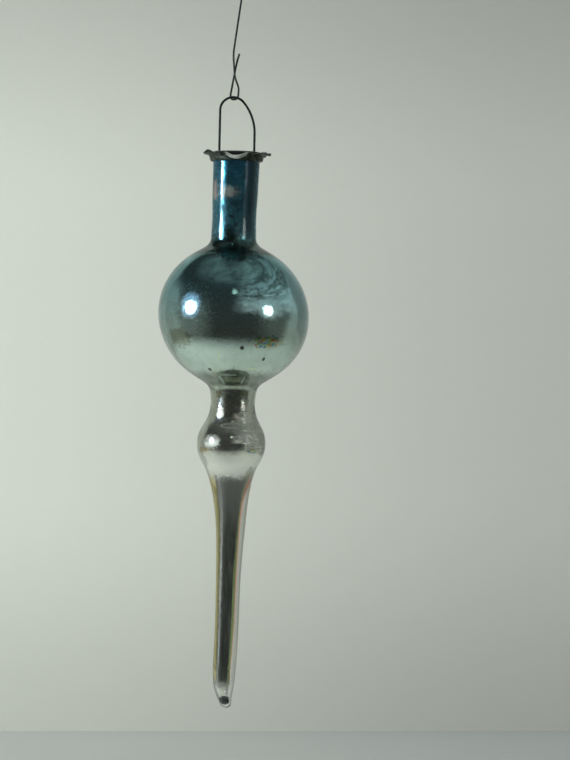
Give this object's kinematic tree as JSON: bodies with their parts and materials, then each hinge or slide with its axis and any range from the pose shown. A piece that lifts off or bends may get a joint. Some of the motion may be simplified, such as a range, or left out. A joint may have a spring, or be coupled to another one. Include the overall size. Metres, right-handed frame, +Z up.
{
  "type": "icicle hanging ornament",
  "caption": "Blown, silvered glass icicle ornament with a round bulb and a long tapered drop, a ruffled metal cap, a wire bail and a bent wire hanging hook.",
  "frame": {"origin": "the point at the top of the inside of the hook's crook, which bears on a branch", "axes": "+Z up, along the hanging length; +X to the right seen from the front, with the crook opening to -X; +Y away from the front"},
  "size_m": [0.0381, 0.038, 0.2123],
  "materials": {
    "hook_wire": "dark oxidised iron wire",
    "bail_wire": "dark oxidised iron wire",
    "cap_tinplate": "tarnished thin tinplate",
    "tinted_glass": "clear glass, blue lacquer fading out below the bulb",
    "silver_film": "aged silver mirror film",
    "dried_residue": "dark crust of dried silvering residue"
  },
  "bodies": {
    "hook": {"wire_hook": "hook_wire"},
    "bail": {"bail_wire": "bail_wire"},
    "cap": {"cap": "cap_tinplate"},
    "glass": {"glass_envelope": "tinted_glass", "silver_lining": "silver_film", "tip_residue": "dried_residue"}
  },
  "joints": [
    {"name": "ornament_swing", "type": "hinge", "parent": "hook", "child": "bail", "pos_m": [0, 0, -0.0576], "axis": [1, 0, 0], "range_deg": [-75, 75]},
    {"name": "bail_slide", "type": "slide", "parent": "bail", "child": "cap", "axis": [0.0209, 0, 0.9998], "range_m": [0, 0.004]},
    {"name": "cap_pull", "type": "slide", "parent": "cap", "child": "glass", "axis": [-0.0209, 0, -0.9998], "range_m": [0, 0.024]}
  ]
}
